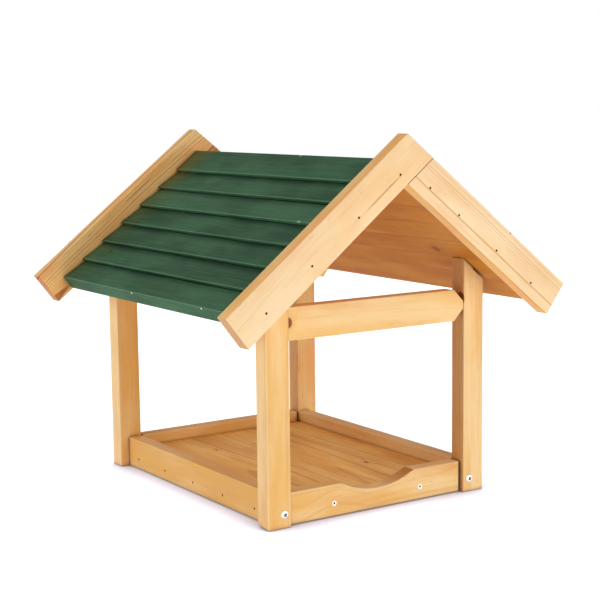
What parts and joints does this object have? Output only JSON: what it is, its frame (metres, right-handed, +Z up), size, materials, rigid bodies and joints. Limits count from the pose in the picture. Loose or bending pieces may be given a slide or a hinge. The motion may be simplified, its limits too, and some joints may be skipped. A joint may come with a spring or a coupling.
{
  "type": "bird table",
  "caption": "Free-standing wooden bird table: an open seed tray with a scalloped front board on corner posts, under a pitched roof of lapped boards with barge boards.",
  "frame": {"origin": "on the ground, below the middle of the tray and of the whole table", "axes": "+Z up, -Y towards the front gable with the scalloped tray board, +X to the right as seen from the front"},
  "size_m": [0.4634, 0.48, 0.428],
  "materials": {
    "pine": "planed, honey stain",
    "pale_pine": "planed, pale",
    "floor_pine": "planed, honey stain",
    "green_stain": "dark green stain, satin",
    "zinc": "zinc plated",
    "nail_wire": "dull"
  },
  "bodies": {
    "root": {"front_left_post": "pine", "front_right_post": "pine", "back_left_post": "pine", "back_right_post": "pine", "front_rail": "pine", "back_rail": "pine", "tray_front_board": "pine", "tray_back_board": "pine", "tray_left_board": "pine", "tray_right_board": "pine", "floor_board_1": "floor_pine", "floor_board_2": "floor_pine", "roof_left_board_1": "green_stain", "roof_left_board_2": "green_stain", "roof_left_board_3": "green_stain", "roof_left_board_4": "green_stain", "roof_left_board_5": "green_stain", "roof_left_board_6": "green_stain", "roof_left_board_7": "green_stain", "roof_right_board_1": "green_stain", "roof_right_board_2": "green_stain", "roof_right_board_3": "green_stain", "roof_right_board_4": "green_stain", "roof_right_board_5": "green_stain", "roof_right_board_6": "green_stain", "roof_right_board_7": "green_stain", "front_left_barge_board": "pale_pine", "front_right_barge_board": "pale_pine", "back_left_barge_board": "pale_pine", "back_right_barge_board": "pale_pine", "front_left_post_screw": "zinc", "front_right_post_screw": "zinc", "back_left_post_screw": "zinc", "back_right_post_screw": "zinc", "front_floor_screw_1": "zinc", "front_floor_screw_2": "zinc", "back_floor_screw_1": "zinc", "back_floor_screw_2": "zinc", "front_left_barge_nail_1": "nail_wire", "front_left_barge_nail_2": "nail_wire", "front_left_barge_nail_3": "nail_wire", "front_left_barge_nail_4": "nail_wire", "front_right_barge_nail_1": "nail_wire", "front_right_barge_nail_2": "nail_wire", "front_right_barge_nail_3": "nail_wire", "front_right_barge_nail_4": "nail_wire", "back_left_barge_nail_1": "nail_wire", "back_left_barge_nail_2": "nail_wire", "back_left_barge_nail_3": "nail_wire", "back_left_barge_nail_4": "nail_wire", "back_right_barge_nail_1": "nail_wire", "back_right_barge_nail_2": "nail_wire", "back_right_barge_nail_3": "nail_wire", "back_right_barge_nail_4": "nail_wire", "front_left_roof_nail": "nail_wire", "front_right_roof_nail": "nail_wire", "back_left_roof_nail": "nail_wire", "back_right_roof_nail": "nail_wire"}
  },
  "joints": []
}
